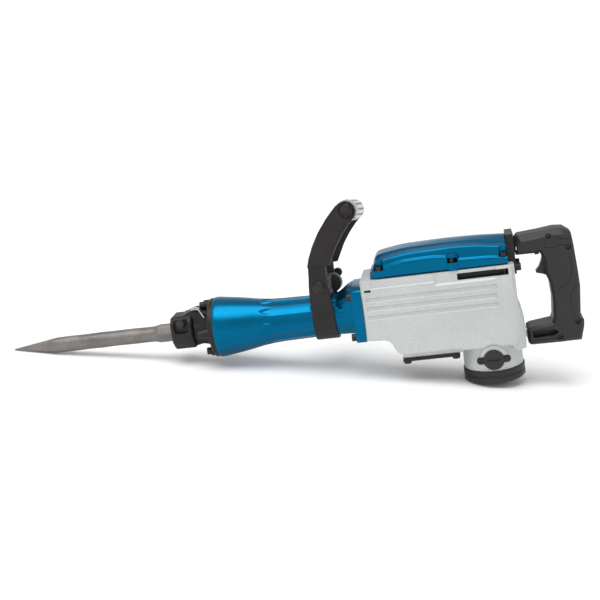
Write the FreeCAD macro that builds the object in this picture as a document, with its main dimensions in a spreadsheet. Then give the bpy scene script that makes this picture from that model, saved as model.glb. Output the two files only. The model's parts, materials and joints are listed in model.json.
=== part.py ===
import FreeCAD, Part
import math
import os
import Sketcher

# Electric demolition hammer.  Every sub-part is modelled in the tool frame and then takes the
# resting stance: the hammer lies on its chisel point and on the front rim of the motor cap.
#
# Tool frame, in millimetres: +X runs rearwards along the hammer axis, +Z points up along the
# motor axis, -Y is the side with the visible screws.  The origin is where both axes cross.

V = FreeCAD.Vector
doc = FreeCAD.newDocument("demolition_hammer")
sheet = doc.addObject("Spreadsheet::Sheet", "Dim")

DIMENSIONS = {
    # chisel and tool retainer
    "chisel_tip": -856, "chisel_end": -421, "taper_end": -770, "forged_end": -580,
    "forged_radius": 13.2, "hex_flats": 30, "hex_play": 0.1, "notch_front": -550,
    "notch_rear": -524.7, "notch_floor": 11.3, "stop_x": -532, "stop_z": 18.8,
    "stop_radius": 7, "stop_flat": 3.5, "nose_front": -550, "nose_rear": -510,
    "neck_radius": 26, "flange_front": -481, "flange_rear": -472,
    "flange_radius": 52, "flange_bolt_circle": 42,
    # barrel and striking mechanism
    "barrel_rear": -209, "bore_radius": 28, "rim_radius": 53.5, "waist_radius": 37,
    "sleeve_rear": -372, "bush_rear": -318, "cylinder_rear": -135, "cylinder_bore": 22,
    "running_play": 0.05, "anvil_front": -396.3, "anvil_stem": 14, "anvil_collar": 20,
    "striker_front": -252, "striker_rear": -212, "piston_front": -179.25,
    "piston_rear": -127, "piston_pin_x": -141.25, "piston_pin_radius": 6,
    # crank train
    "crank_x": -86.25, "crank_throw": 15, "crank_pin_radius": 9, "crank_shaft_radius": 12,
    "idler_x": -31.25, "fine_module": 1.25, "coarse_module": 2.5,
    # housings
    "housing_front": -209, "housing_half_width": 54, "split_height": 62,
    "motor_radius": 49.5, "motor_bottom": -119, "stator_radius": 40, "cap_radius": 52.4,
    "cap_bottom": -141, "brush_z": -97.5, "cover_half_width": 50,
    # rear handle
    "grip_half_width": 26, "pivot_x": 60, "pivot_z": 82,
    # side handle
    "strap_front": -297, "strap_width": 38, "strap_inner": 37.05, "strap_plate": 5,
    "arm_inner": 62, "arm_plate": 10, "clamp_x": -277, "clamp_z": 52, "head_x": -214,
    "head_z": 176, "grip_radius": 18.5, "lean_angle": -8.1,
    # resting stance, and fasteners
    "stance_x": 342.5, "stance_y": -19.71,
    "bolt_head": 6.5, "bolt_head_height": 8, "bolt_shank": 4, "screw_head": 4.5,
    "screw_head_height": 4, "screw_shank": 2.4,
}

for row, (alias, amount) in enumerate(DIMENSIONS.items(), start=1):
    sheet.set("A%d" % row, alias)
    sheet.set("B%d" % row, str(amount))
    sheet.setAlias("B%d" % row, alias)
doc.recompute()

nodes = {}
screws = {}


def number(amount):
    """A plain number, or the value of a sheet alias such as "rim_radius" or "-rim_radius"."""
    if not isinstance(amount, str):
        return float(amount)
    if amount.startswith("-"):
        return -number(amount[1:])
    return float(getattr(sheet, amount))


def formula(amount):
    """The expression that ties a property to the same amount."""
    if not isinstance(amount, str):
        return str(amount)
    return "-Dim." + amount[1:] if amount.startswith("-") else "Dim." + amount


def bind(item, **properties):
    """Ties properties of a document object to numbers or sheet aliases."""
    for name, amount in properties.items():
        item.setExpression(name, formula(amount))


def new_body(label):
    body = doc.addObject("PartDesign::Body", label)
    nodes[label] = body
    return body


def plane(body, role):
    return next(item for item in body.Origin.OriginFeatures if item.Role == role)


def tie_vertex(sketch, curve, end, point):
    """Dimensions a vertex from the sketch origin wherever a sheet alias gives its place."""
    for kind, amount in zip(("DistanceX", "DistanceY"), point):
        if isinstance(amount, str):
            index = sketch.addConstraint(
                Sketcher.Constraint(kind, -1, 1, curve, end, number(amount)))
            sketch.setExpression("Constraints[%d]" % index, formula(amount))


def corner(point):
    return V(number(point[0]), number(point[1]), 0)


def add_outline(sketch, outline):
    """A closed outline.  A point tagged "arc" is the middle of an arc between its neighbours.

    Vertices between two straight edges are joined and dimensioned; arcs, and outlines in
    plain numbers such as gear teeth, stay as drawn."""
    count = len(outline)
    corners = [i for i in range(count) if len(outline[i]) == 2]
    edges = []
    for i in corners:
        start, after = corner(outline[i]), outline[(i + 1) % count]
        if len(after) == 2:
            curve = sketch.addGeometry(Part.LineSegment(start, corner(after)), False)
            edges.append((curve, outline[i]))
        else:
            sketch.addGeometry(
                Part.Arc(start, corner(after), corner(outline[(i + 2) % count])), False)
            edges.append((None, outline[i]))
    if not any(isinstance(amount, str) for point in outline for amount in point[:2]):
        return
    for before, (curve, vertex) in zip(edges[-1:] + edges[:-1], edges):
        if curve is not None and before[0] is not None:
            sketch.addConstraint(Sketcher.Constraint("Coincident", before[0], 2, curve, 1))
            tie_vertex(sketch, curve, 1, vertex)


def add_circle(sketch, x, y, radius):
    centre = V(number(x), number(y), 0)
    curve = sketch.addGeometry(Part.Circle(centre, V(0, 0, 1), number(radius)), False)
    index = sketch.addConstraint(Sketcher.Constraint("Radius", curve, number(radius)))
    sketch.setExpression("Constraints[%d]" % index, formula(radius))
    tie_vertex(sketch, curve, 3, (x, y))


def new_sketch(body, role, outlines, offset=0):
    """A sketch on one of the body's own planes.  Offsets run along +X, -Y or +Z."""
    sketch = body.newObject("Sketcher::SketchObject", body.Label + "_sketch")
    sketch.AttachmentSupport = [(plane(body, role), "")]
    sketch.MapMode = "FlatFace"
    sketch.setExpression("AttachmentOffset.Base.z", formula(offset))
    for outline in outlines:
        if outline[0] == "circle":
            add_circle(sketch, *outline[1:])
        else:
            add_outline(sketch, outline)
    return sketch


def add_feature(body, kind, sketch, length, both_ways=False, backwards=False):
    feature = body.newObject("PartDesign::" + kind, body.Label + "_" + kind.lower())
    feature.Profile = sketch
    feature.Midplane = both_ways
    feature.Reversed = backwards
    bind(feature, Length=length)
    return feature


def pad(body, role, outlines, length, offset=0, both_ways=False, backwards=False):
    sketch = new_sketch(body, role, outlines, offset)
    return add_feature(body, "Pad", sketch, length, both_ways, backwards)


def pocket(body, role, outlines, length, offset=0, both_ways=False, backwards=False):
    """Cuts along the plane's normal unless it runs backwards."""
    sketch = new_sketch(body, role, outlines, offset)
    return add_feature(body, "Pocket", sketch, length, both_ways, not backwards)


def turn(body, outline, kind="Revolution", axis="H_Axis"):
    """A turned shape from a half profile in the XZ plane, about the X or the Z direction."""
    sketch = new_sketch(body, "XZ_Plane", [outline])
    feature = body.newObject("PartDesign::" + kind, body.Label + "_turned")
    feature.Profile = sketch
    feature.ReferenceAxis = (sketch, [axis])
    feature.Angle = 360
    return feature


def round_edges(body, radius, chosen, kind="Fillet"):
    """Rounds or chamfers every edge for which chosen(edge) is true."""
    doc.recompute()
    base = body.Tip
    names = ["Edge%d" % (i + 1) for i, edge in enumerate(base.Shape.Edges) if chosen(edge)]
    feature = body.newObject("PartDesign::" + kind, body.Label + "_" + kind.lower())
    feature.Base = (base, names)
    bind(feature, **{"Radius" if kind == "Fillet" else "Size": radius})
    doc.recompute()
    return feature


def on_side(half_width, extra=lambda box: True):
    """Picks the edges that lie flat in either side face."""
    def chosen(edge):
        box = edge.BoundBox
        flat = box.YLength < 1e-6 and abs(abs(box.YMin) - half_width) < 1e-6
        return flat and extra(box)
    return chosen


def place(x=0, y=0, z=0, axis=V(0, 0, 1)):
    """A placement at a point, with local +Z along an axis."""
    return FreeCAD.Placement(V(x, y, z), FreeCAD.Rotation(V(0, 0, 1), axis))


def cylinder(radius, height, where):
    rod = doc.addObject("Part::Cylinder", "rod")
    bind(rod, Radius=radius, Height=height)
    rod.Placement = where
    return rod


def block(low, high):
    box = doc.addObject("Part::Box", "block")
    low, high = V(*map(number, low)), V(*map(number, high))
    bind(box, Length=high.x - low.x, Width=high.y - low.y, Height=high.z - low.z)
    box.Placement = FreeCAD.Placement(low, FreeCAD.Rotation())
    return box


def ring(outer, inner, height, where):
    """A plain tube whose lower end sits at the placement."""
    outside = cylinder(outer, height, FreeCAD.Placement())
    inside = cylinder(inner, height, FreeCAD.Placement())
    tube = cut(outside, [inside])
    tube.Placement = where
    return tube


def cut(base, tools, label=None):
    result = doc.addObject("Part::Cut", label or "cut")
    result.Base = base
    result.Tool = tools[0] if len(tools) == 1 else join(tools)
    if label:
        nodes[label] = result
    return result


def join(items, label=None):
    result = doc.addObject("Part::MultiFuse", label or "joined")
    result.Shapes = items
    if label:
        nodes[label] = result
    return result


def group(label, items):
    """Separate solids of one kind in one node."""
    result = doc.addObject("Part::Compound", label)
    result.Links = items
    nodes[label] = result
    return result


def bolt(where, head, head_height, shank, shank_length, drive="socket"):
    """A screw whose head rises along the placement's axis from the seat, shank below.

    Returns the screw and the plain solid, open above the head, that its hole has to clear."""
    ident = FreeCAD.Placement()
    down = place(0, 0, -number(shank_length))
    if drive == "hexagon":
        top = doc.addObject("Part::Prism", "hexagon_head")
        top.Polygon = 6
        bind(top, Circumradius=head, Height=head_height)
        screw = join([top, cylinder(shank, shank_length, down)])
    else:
        recess = doc.addObject("Part::Prism", "hexagon_socket")
        recess.Polygon = 6
        recess.setExpression("Circumradius", formula(head) + " * 0.55")
        bind(recess, Height=head_height)
        recess.Placement = place(0, 0, number(head_height) * 0.4)
        solid = join([cylinder(head, head_height, ident), cylinder(shank, shank_length, down)])
        screw = cut(solid, [recess])
    reach = number(head_height) + 12
    hole = join([cylinder(head, reach, ident), cylinder(shank, shank_length, down)])
    screw.Placement = where
    hole.Placement = where
    return screw, hole


def bolts(label, places, head, head_height, shank, shank_length, drive="socket"):
    """Adds equal screws to a node.  Returns the solid that clears all of them."""
    pairs = [bolt(spot, head, head_height, shank, shank_length, drive) for spot in places]
    screws.setdefault(label, []).extend(screw for screw, hole in pairs)
    holes = [hole for screw, hole in pairs]
    return holes[0] if len(holes) == 1 else join(holes)


def hexagon(flats, half_play=0.0):
    """Corners of a hexagon with two level flats, in the YZ plane."""
    corner = (number(flats) / 2 + half_play) / math.cos(math.radians(30))
    return [(corner * math.cos(math.radians(60 * i)), corner * math.sin(math.radians(60 * i)))
            for i in range(6)]


def gear_outline(teeth, module, phase=0.0, thinning=0.12, addendum=0.85):
    """Involute teeth with a little backlash; tooth 0 points at the phase angle in degrees."""
    module = number(module)
    pitch = module * teeth / 2
    base = pitch * math.cos(math.radians(20))
    root = pitch - 1.2 * module
    tip = pitch + addendum * module
    involute = math.tan(math.radians(20)) - math.radians(20)
    half = math.pi / (2 * teeth) - thinning * module / pitch + involute
    low = max(root, base + 0.01)
    flank = [(root, half)] if root < low else []
    for step in range(4):
        radius = low + (tip - low) * step / 3
        turn_angle = math.acos(base / radius)
        flank.append((radius, half - math.tan(turn_angle) + turn_angle))
    points = []
    for tooth in range(teeth):
        middle = math.radians(phase) + 2 * math.pi * tooth / teeth
        sides = [(r, middle - a) for r, a in flank] + [(r, middle + a) for r, a in flank[::-1]]
        points += [(r * math.cos(a), r * math.sin(a)) for r, a in sides]
    return points


X, Y, Z = V(1, 0, 0), V(0, 1, 0), V(0, 0, 1)
play = number("running_play")

# ---------------------------------------------------------------- chisel and tool retainer

# Pointed chisel: forged hexagon shank with a round neck, a long point and a stop notch.
chisel = new_body("chisel")
pad(chisel, "YZ_Plane", [hexagon("hex_flats")], 159, offset="chisel_end", backwards=True)
turn(chisel, [("chisel_tip", 0), ("forged_end", 0), ("forged_end", "forged_radius"),
              ("taper_end", 12.8), (-854, 2)])
pocket(chisel, "XZ_Plane", [[("notch_front", "notch_floor"), ("notch_rear", "notch_floor"),
                             ("notch_rear", 18), ("notch_front", 18)]], 60, both_ways=True)
round_edges(chisel, 1.5, lambda edge: edge.BoundBox.XMin > -421.01, "Chamfer")

# Nose block that carries the hexagon bore and the cross bore for the stop pin.
nose = new_body("tool_retainer")
pad(nose, "YZ_Plane", [[(-32, -13), (-32, 24), (-24, 31), (24, 31), (32, 24), (32, -13),
                        (19, -29), (-19, -29)], hexagon("hex_flats", number("hex_play"))],
    40, offset="nose_front")
turn(nose, [("nose_rear", 19), ("nose_rear", "neck_radius"), (-476, "neck_radius"),
            (-476, "bore_radius"), ("flange_rear", "bore_radius"), ("flange_rear", 19)])
pocket(nose, "XZ_Plane", [("circle", "stop_x", "stop_z", number("stop_radius") + play)],
       120, both_ways=True)
pocket(nose, "XZ_Plane", [[(-542.5, 8.3), (-521.5, 8.3), (-521.5, 29.3), (-542.5, 29.3)]],
       7, offset=25)
round_edges(nose, 2.5, lambda edge: abs(edge.BoundBox.XMax + 550) < 1e-6
            and max(abs(edge.BoundBox.YMax), abs(edge.BoundBox.YMin)) > 17.6, "Chamfer")

# Stop pin: a round bar with one flat; half a turn frees the chisel.  Lever on the far side.
stop_bar = cylinder("stop_radius", 60, place(number("stop_x"), 33, number("stop_z"), -Y))
flat = block((-545, -24, number("stop_z") + number("stop_flat")), (-520, 24, 40))
stop_head = cylinder(8.5, 4, place(number("stop_x"), -26, number("stop_z"), -Y))
stop_arm = block((-537, 33, -12), (-527, 38, 26))
lever_tip = cylinder(8, 5, place(number("stop_x"), 33, -12, Y))
lever_hub = cylinder(10, 5, place(number("stop_x"), 33, number("stop_z"), Y))
join([cut(stop_bar, [flat]), stop_head, stop_arm, lever_tip, lever_hub], "stop_lever")

# Steel sleeve behind the nose: hexagon bore in front, room for the anvil behind.
sleeve = new_body("tool_sleeve")
turn(sleeve, [("flange_rear", 19), ("flange_rear", "bore_radius"),
              ("sleeve_rear", "bore_radius"), ("sleeve_rear", 21), (-419, 21), (-419, 19)])
inner_hex = [hexagon("hex_flats", number("hex_play"))]
pad(sleeve, "YZ_Plane", [("circle", 0, 0, 19)] + inner_hex, 39, offset=-458)

damper = new_body("rubber_damper")
turn(damper, [(-366, 16), (-366, "bore_radius"), ("sleeve_rear", "bore_radius"),
              ("sleeve_rear", 16)][::-1])

# ---------------------------------------------------------------- striking mechanism

bush = new_body("impact_bush")
turn(bush, [(-366, "bore_radius"), ("bush_rear", "bore_radius"),
            ("bush_rear", number("anvil_collar") + play),
            (-354, number("anvil_collar") + play), (-354, number("anvil_stem") + play),
            (-366, number("anvil_stem") + play)])

anvil = new_body("anvil")
turn(anvil, [("anvil_front", 0), ("anvil_front", 12.5), (-394, "anvil_stem"),
             (-341, "anvil_stem"), (-339, "anvil_collar"), (-319, "anvil_collar"),
             (-317, 13), (-298, 13), (-296, 11), (-296, 0)])

barrel_liner = new_body("cylinder_tube")
turn(barrel_liner, [("bush_rear", "cylinder_bore"), ("bush_rear", "bore_radius"),
                    ("cylinder_rear", "bore_radius"), ("cylinder_rear", "cylinder_bore")])

striker = new_body("striker")
slide_radius = number("cylinder_bore") - play
turn(striker, [("striker_front", 0), ("striker_front", 19), (-249, slide_radius),
               (-226, slide_radius), (-226, 19.5), (-222, 19.5), (-222, slide_radius),
               ("striker_rear", slide_radius), ("striker_rear", 0)])

piston = new_body("piston")
turn(piston, [("piston_front", 0), ("piston_front", slide_radius), (-170, slide_radius),
              (-170, 19.5), (-166, 19.5), (-166, slide_radius), ("piston_rear", slide_radius),
              ("piston_rear", 16), (-160, 16), (-160, 0)])
pocket(piston, "XY_Plane", [("circle", "piston_pin_x", 0, "piston_pin_radius")],
       60, both_ways=True)

piston_pin = cylinder("piston_pin_radius", 42, place(number("piston_pin_x"), 0, -21))
group("piston_pin", [piston_pin])


def seal(x):
    """A sealing ring in a groove four millimetres wide."""
    return ring(slide_radius, 19.5, 4, place(x, 0, 0, X))


group("striker_ring", [seal(-226)])
group("piston_ring", [seal(-170)])

# Connecting rod: its big end floats just above the crank pin, see the open pivot.
rod = new_body("connecting_rod")
pin_x = number("crank_x") + number("crank_throw")
pad(rod, "XY_Plane", [[(-141.25, -7), (pin_x, -7), (pin_x, 7), (-141.25, 7)]], 14,
    both_ways=True)
pad(rod, "XY_Plane", [("circle", "piston_pin_x", 0, 11)], 14, both_ways=True)
pad(rod, "XY_Plane", [("circle", pin_x, 0, 14)], 14, both_ways=True)
pocket(rod, "XY_Plane", [("circle", "piston_pin_x", 0, number("piston_pin_radius") + play)],
       30, both_ways=True)
pocket(rod, "XY_Plane", [("circle", pin_x, 0, number("crank_pin_radius") + play)], 30,
       both_ways=True)

# ---------------------------------------------------------------- crank train

# Crankshaft: journal, throw disc with counterweight side, crank pin below the disc.
journal = cylinder("crank_shaft_radius", 77, place(number("crank_x"), 0, 21))
disc = cylinder(26, 12, place(number("crank_x"), 0, 10))
crank_pin = cylinder("crank_pin_radius", 4, place(pin_x, 0, 7.4))
join([journal, disc, crank_pin], "crankshaft")


def gear(label, teeth, module, x, low, height, bore, phase):
    """A spur gear in a body of its own, with a bore for its shaft."""
    body = new_body(label)
    outline = [(number(x) + px, py) for px, py in gear_outline(teeth, module, phase)]
    pad(body, "XY_Plane", [outline, ("circle", x, 0, bore)], height, offset=low)
    return body


gear("crank_gear", 30, "coarse_module", "crank_x", 80, 14, "crank_shaft_radius", 6)
gear("idler_gear", 38, "fine_module", "idler_x", 66, 12, 9, 180 / 38)
pinion = gear("pinion_teeth", 14, "coarse_module", "idler_x", 80, 14, 8.9, 0)
del nodes["pinion_teeth"]
join([pinion, cylinder(9, 30, place(number("idler_x"), 0, 66)),
      cylinder(7, 17.5, place(number("idler_x"), 0, 48.5))], "idler_pinion")


# ---------------------------------------------------------------- barrel and front flange

barrel = new_body("barrel")
turn(barrel, [("flange_rear", "bore_radius"), ("flange_rear", 52.5), (-469, "rim_radius"),
              (-440, 50, "arc"), (-410, 45.2), (-385, 40.4, "arc"), (-358, 38),
              ("strap_front", "waist_radius"), (-258, "waist_radius"), (-255, 39),
              (-240, 43.5, "arc"), (-229, 49), ("barrel_rear", 49),
              ("barrel_rear", "bore_radius")])
pad(barrel, "YZ_Plane", [[(-54, -38), (-54, 41), (-43, 52), (43, 52), (54, 41), (54, -38),
                          (43, -49), (-43, -49)], ("circle", 0, 0, 40)], 17,
    offset="barrel_rear", backwards=True)



def flutes(start, length, floor, width, count):
    """Long grooves let into the barrel all round, parallel to its axis."""
    groove = pocket(barrel, "XY_Plane", [[(start, -width / 2), (start + length, -width / 2),
                                          (start + length, width / 2), (start, width / 2)]],
                    20, offset=floor)
    around_axis = barrel.newObject("PartDesign::PolarPattern", "barrel_flutes")
    around_axis.Originals = [groove]
    around_axis.Axis = (plane(barrel, "X_Axis"), [""])
    around_axis.Angle = 360
    around_axis.Occurrences = count
    barrel.Tip = around_axis


flutes(-378, 74, 36.3, 2.6, 24)
flutes(-252, 24, 41.0, 2.0, 36)

flange = new_body("front_flange")
turn(flange, [("flange_front", "neck_radius"), ("flange_front", 50.5), (-479, "flange_radius"),
              ("flange_rear", "flange_radius"), ("flange_rear", "bore_radius"),
              (-476, "bore_radius"), (-476, "neck_radius")])
around = [(math.cos(math.radians(90 * i)), math.sin(math.radians(90 * i))) for i in range(4)]
circle = number("flange_bolt_circle")
pad(flange, "YZ_Plane", [("circle", c * circle, s * circle, 9) for c, s in around], 10,
    offset="flange_front", backwards=True)
flange_holes = bolts("casing_bolts", [place(-491, c * circle, s * circle, -X)
                                      for c, s in around],
                     "bolt_head", "bolt_head_height", "bolt_shank", 40)
barrel_holes = bolts("casing_bolts", [place(-226, side * 44, z, -X)
                                      for side in (-1, 1) for z in (-35, 36)],
                     "bolt_head", "bolt_head_height", "bolt_shank", 40)
del nodes["barrel"], nodes["front_flange"]
cut(barrel, [flange_holes, barrel_holes], "barrel_tube")
cut(flange, [flange_holes], "flange_ring")

# ---------------------------------------------------------------- housing

half = number("housing_half_width")
housing = new_body("housing_casting")
pad(housing, "XZ_Plane", [[("housing_front", "split_height"), (50, "split_height"), (50, 55),
                           (45, 14), (55, -31), (58, -89), (-50, -89), (-50, -73),
                           (-150, -73), (-161, -65), (-167, -54), (-175, -43),
                           ("housing_front", -42)]],
    2 * half, both_ways=True)
round_edges(housing, 4, on_side(half, lambda box: box.ZMin < 61))
pad(housing, "XZ_Plane", [[(-151, -70), (-48, -70), (-48, -82), (-151, -82)]], 88,
    both_ways=True)
pad(housing, "XY_Plane", [("circle", 0, 0, "motor_radius")], 60, offset="motor_bottom")
pad(housing, "XZ_Plane", [("circle", 0, "brush_z", 20.5)], 100, both_ways=True)
pad(housing, "XZ_Plane", [[(-29, -108), (29, -108), (29, -87), (-29, -87)]], 100,
    both_ways=True)
pocket(housing, "YZ_Plane", [("circle", 0, 0, "bore_radius")], 80, offset=-134,
       backwards=True)
pocket(housing, "XY_Plane", [[(-134, -38), (-56, -38), (-56, 38), (-134, 38)]], 102,
       offset="split_height", backwards=True)
pocket(housing, "XY_Plane", [[(-140, -40.5), (-48, -40.5), (-48, 40.5), (-140, 40.5)]], 12,
       offset="split_height", backwards=True)
pocket(housing, "XY_Plane", [("circle", 0, 0, "stator_radius")], 143, offset="motor_bottom")
pocket(housing, "XY_Plane", [("circle", 0, 0, 15), ("circle", "idler_x", 0, 12)], 14,
       offset="split_height", backwards=True)
pocket(housing, "XY_Plane", [("circle", 0, 0, 10)], 60, offset=10)
pocket(housing, "XZ_Plane", [("circle", 0, "brush_z", 9)], 120, both_ways=True)

# Light-alloy casting: relief pockets under the cover and the base plate keep the walls even.
pocket(housing, "XY_Plane", [[(-196, -47), (-143, -47), (-143, 47), (-196, 47)]], 28,
       offset="split_height", backwards=True)
for side in (-1, 1):
    pocket(housing, "XY_Plane",
           [[(-196, 33 * side), (-143, 33 * side), (-143, 48 * side), (-196, 48 * side)]], 94,
           offset="split_height", backwards=True)
    pocket(housing, "XY_Plane",
           [[(-44, 45 * side), (-41, 26 * side), (-24, 45 * side)]], 110,
           offset=50, backwards=True)
pocket(housing, "XY_Plane", [[(-132, -30), (-66, -30), (-66, 30), (-132, 30)]], 36, offset=-82)

# Side grooves, the long dark slot under the cover and the small one in front.
for near in (True, False):
    face = half if near else -half
    pocket(housing, "XZ_Plane", [[(-190, z), (24, z), (24, z + 1.8), (-190, z + 1.8)]
                                 for z in (-16, -6.5, 3, 12.5, 22)],
           1.4, offset=face, backwards=near)
    pocket(housing, "XZ_Plane", [[(-45, 46), (35, 46), (35, 55), (-45, 55)],
                                 [(-202, 42), (-191, 42), (-191, 46), (-202, 46)]],
           7, offset=face, backwards=near)
    pocket(housing, "XZ_Plane", [("circle", 0, "brush_z", 17.8)], 4, offset=face,
           backwards=near)

plate = new_body("bearing_plate")
pad(plate, "XY_Plane", [[(-140, -40.5), (-48, -40.5), (-48, 40.5), (-140, 40.5)]], 12,
    offset=50)
pad(plate, "XY_Plane", [("circle", "crank_x", 0, 27)], 26, offset=25)
pocket(plate, "XY_Plane", [("circle", "crank_x", 0, 22)], 60, offset=10)
plate_holes = bolts("casing_screws", [place(x, y, 62, Z) for x in (-137, -52) for y in (-26, 26)],
                    "screw_head", "screw_head_height", "screw_shank", 30)

crank = number("crank_x")
group("bearings", [ring(22, 12 + play, 11, place(crank, 0, 25)),
                   ring(22, 12 + play, 11, place(crank, 0, 51)),
                   ring(12, 7 + play, 10, place(number("idler_x"), 0, 48)),
                   ring(15, 8 + play, 10, place(0, 0, 48)),
                   ring(14, 8 + play, 10, place(0, 0, -133))])

bottom_plate = new_body("bottom_plate")
pad(bottom_plate, "XY_Plane", [[(-152, -46), (-55, -46), (-55, 46), (-152, 46)]], 5, offset=-87)
base_holes = bolts("bottom_plate_bolts", [place(x, y, -87, -Z) for x in (-145, -62)
                                          for y in (-37, 37)],
                   "bolt_head", 5, "bolt_shank", 25, drive="hexagon")

# Blue cover over the gear case: an arch of chamfered steps, with six screws on ledges.
half_cover = number("cover_half_width")
terraces = [
    (half_cover, [(-190, "split_height"), (-186, 75), (-162, 81.5), (-130, 88.6, "arc"),
                  (-100, 90), (-28, 86.5, "arc"), (41.5, 79), (41.5, "split_height")]),
    (46, [(-189, "split_height"), (-181, 85), (-158, 90), (-134, 94, "arc"), (-104, 96),
          (-30, 95, "arc"), (41.5, 88), (41.5, "split_height")]),
    (42.5, [(-188, "split_height"), (-178, 92), (-150, 97, "arc"), (-110, 101),
            (-34, 100.4, "arc"), (41.5, 94), (41.5, "split_height")]),
    (32, [(-187, "split_height"), (-175, 96.5), (-140, 103, "arc"), (-100, 104.8),
          (-30, 104.6, "arc"), (41.5, 98.5), (41.5, "split_height")]),
    (21, [(-186, "split_height"), (-173, 98.5), (-130, 105.6, "arc"), (-90, 107.2),
          (-30, 107.6, "arc"), (41.5, 103.5), (41.5, "split_height")])]
steps = []
for half_width, outline in terraces:
    step = new_body("cover_step")
    pad(step, "XZ_Plane", [outline], 2 * half_width, both_ways=True)
    round_edges(step, 1.5, on_side(half_width, lambda box: box.ZMax > 76 and box.XLength > 1),
                "Chamfer")
    steps.append(step)
cavities = []
for half_width, outline in (
        (40.3, [(-146, 60), (-142, 88), (-118, 94), (-64, 96.5), (-14, 94), (22, 86),
                (22, 60)]),
        (30, [(-145, 60), (-143, 91), (-129, 98), (-100, 99.5), (-40, 99.5), (-6, 98),
              (21, 88), (21, 60)])):
    cavity = new_body("cover_cavity")
    pad(cavity, "XZ_Plane", [outline], 2 * half_width, both_ways=True)
    cavities.append(cavity)
columns = [block((-63, y, 62), (-39, y + 14, 86)) for y in (-47, 33)]
columns += [block((-63, y, 62), (-39, y + 8, 98)) for y in (-41, 33)]
screw_columns = (-174, -51, 34)
ledges = [block((x - 8, y, 76), (x + 8, y + 16, 136)) for x in screw_columns
          for y in (-54, 38)]
hollow = cut(join(steps), cavities)
cover = cut(join([hollow] + columns), ledges)
del nodes["cover_step"], nodes["cover_cavity"]
cover_holes = bolts("cover_screws", [place(x, y, 76, Z) for x in screw_columns
                                     for y in (-44, 44)],
                    5.5, 7, 3, 34)

# Black block behind the cover; its lug carries the pivot of the rear handle.
mount = new_body("handle_mount")
pad(mount, "YZ_Plane", [[(-27, "split_height"), (27, "split_height"), (27, 108), (-27, 108)]],
    12.5, offset=41.5)
pad(mount, "YZ_Plane", [[(-27, 40), (27, 40), (27, 64), (-27, 64)]], 4, offset=50)
pad(mount, "YZ_Plane", [[(-8, 73), (8, 73), (8, 91), (-8, 91)]], 16, offset=53)
pocket(mount, "XZ_Plane", [("circle", "pivot_x", "pivot_z", 4 + play)], 40, both_ways=True)
mount_holes = bolts("casing_bolts", [place(54, y, 50, X) for y in (-19, 19)],
                    "bolt_head", "bolt_head_height", "bolt_shank", 22)

# Guide bolt and spring that steady the foot of the rear handle.
guide_bolt, guide_hole = bolt(place(96, 0, -68, X), 7, 6, 4, 52)
group("guide_bolt", [guide_bolt])
guide_spring = ring(8, 5, 9.5, place(57.7, 0, -68, X))

# ---------------------------------------------------------------- motor

cap = new_body("cap_shell")
turn(cap, [(0, "cap_bottom"), (49.4, "cap_bottom"), ("cap_radius", -138), ("cap_radius", -131),
           (51, -130), (51, -127.5), ("cap_radius", -126.5), ("cap_radius", "motor_bottom"),
           ("stator_radius", "motor_bottom"), ("stator_radius", -131), (19, -131), (19, -123),
           (14, -123), (14, -135), (0, -135)], axis="V_Axis")
cap_holes = bolts("casing_screws", [place(45 * c, 45 * s, -136.9, -Z) for c, s in
                                 [(0.7071 * a, 0.7071 * b) for a in (-1, 1) for b in (-1, 1)]],
                  "screw_head", "screw_head_height", "screw_shank", 34)

shaft = new_body("armature_shaft")
turn(shaft, [(0, -134), (8, -134), (8, 66), (0, 66)], axis="V_Axis")
pad(shaft, "XY_Plane", [gear_outline(12, "fine_module")], 12, offset=66)
group("armature_core", [ring(25, 8, 75, place(0, 0, -70))])
group("armature_windings", [ring(21.5, 8, 9, place(0, 0, z)) for z in (-79, 5)])
group("commutator", [ring(17, 8, 22, place(0, 0, -108))])
fan = new_body("cooling_fan")
pad(fan, "XY_Plane", [("circle", 0, 0, 36), ("circle", 0, 0, 8)], 2, offset=15)
blades = []
for i in range(11):
    angle = 2 * math.pi * i / 11
    radial = (math.cos(angle), math.sin(angle))
    across = (-radial[1], radial[0])
    corners = [(12, -1), (35, 4), (35, 6), (12, 1)]
    blades.append([(r * radial[0] + t * across[0], r * radial[1] + t * across[1])
                   for r, t in corners])
pad(fan, "XY_Plane", blades, 8, offset=15)
group("stator", [ring("stator_radius", 25.6, 80, place(0, 0, -73))])

brush_z = number("brush_z")
brushes, holders, springs, caps, ears = [], [], [], [], []
for side in (-1, 1):
    out = Y * side
    spot = (lambda y: place(0, side * y, brush_z, out))
    brushes.append(block((-4, min(side * 17.1, side * 32), brush_z - 4),
                         (4, max(side * 17.1, side * 32), brush_z + 4)))
    bore = block((-4, min(side * 20, side * 50), brush_z - 4),
                 (4, max(side * 20, side * 50), brush_z + 4))
    holders.append(cut(cylinder(9, 22, spot(22)), [bore]))
    springs.append(ring(3.5, 2.5, 12, spot(32)))
    disc_cap = join([cylinder(17.5, 6, spot(50)), cylinder(9, 6, spot(44)),
                     cylinder(6, 4, place(22.5, side * 50, brush_z, out)),
                     cylinder(6, 4, place(-22.5, side * 50, brush_z, out)),
                     block((-22, min(side * 50, side * 54), brush_z - 6),
                           (22, max(side * 50, side * 54), brush_z + 6))])
    slot = block((-11, min(side * 54, side * 60), brush_z - 1.6),
                 (11, max(side * 54, side * 60), brush_z + 1.6))
    caps.append(cut(disc_cap, [slot]))
    ears += [place(x, side * 54, brush_z, out) for x in (-22.5, 22.5)]
group("carbon_brushes", brushes)
group("brush_holders", holders)
group("springs", springs + [guide_spring])
ear_holes = bolts("brush_cap_screws", ears, "screw_head", 2.5, "screw_shank", 16)
cut(group("brush_caps", caps), [ear_holes], "brush_caps")

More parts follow.
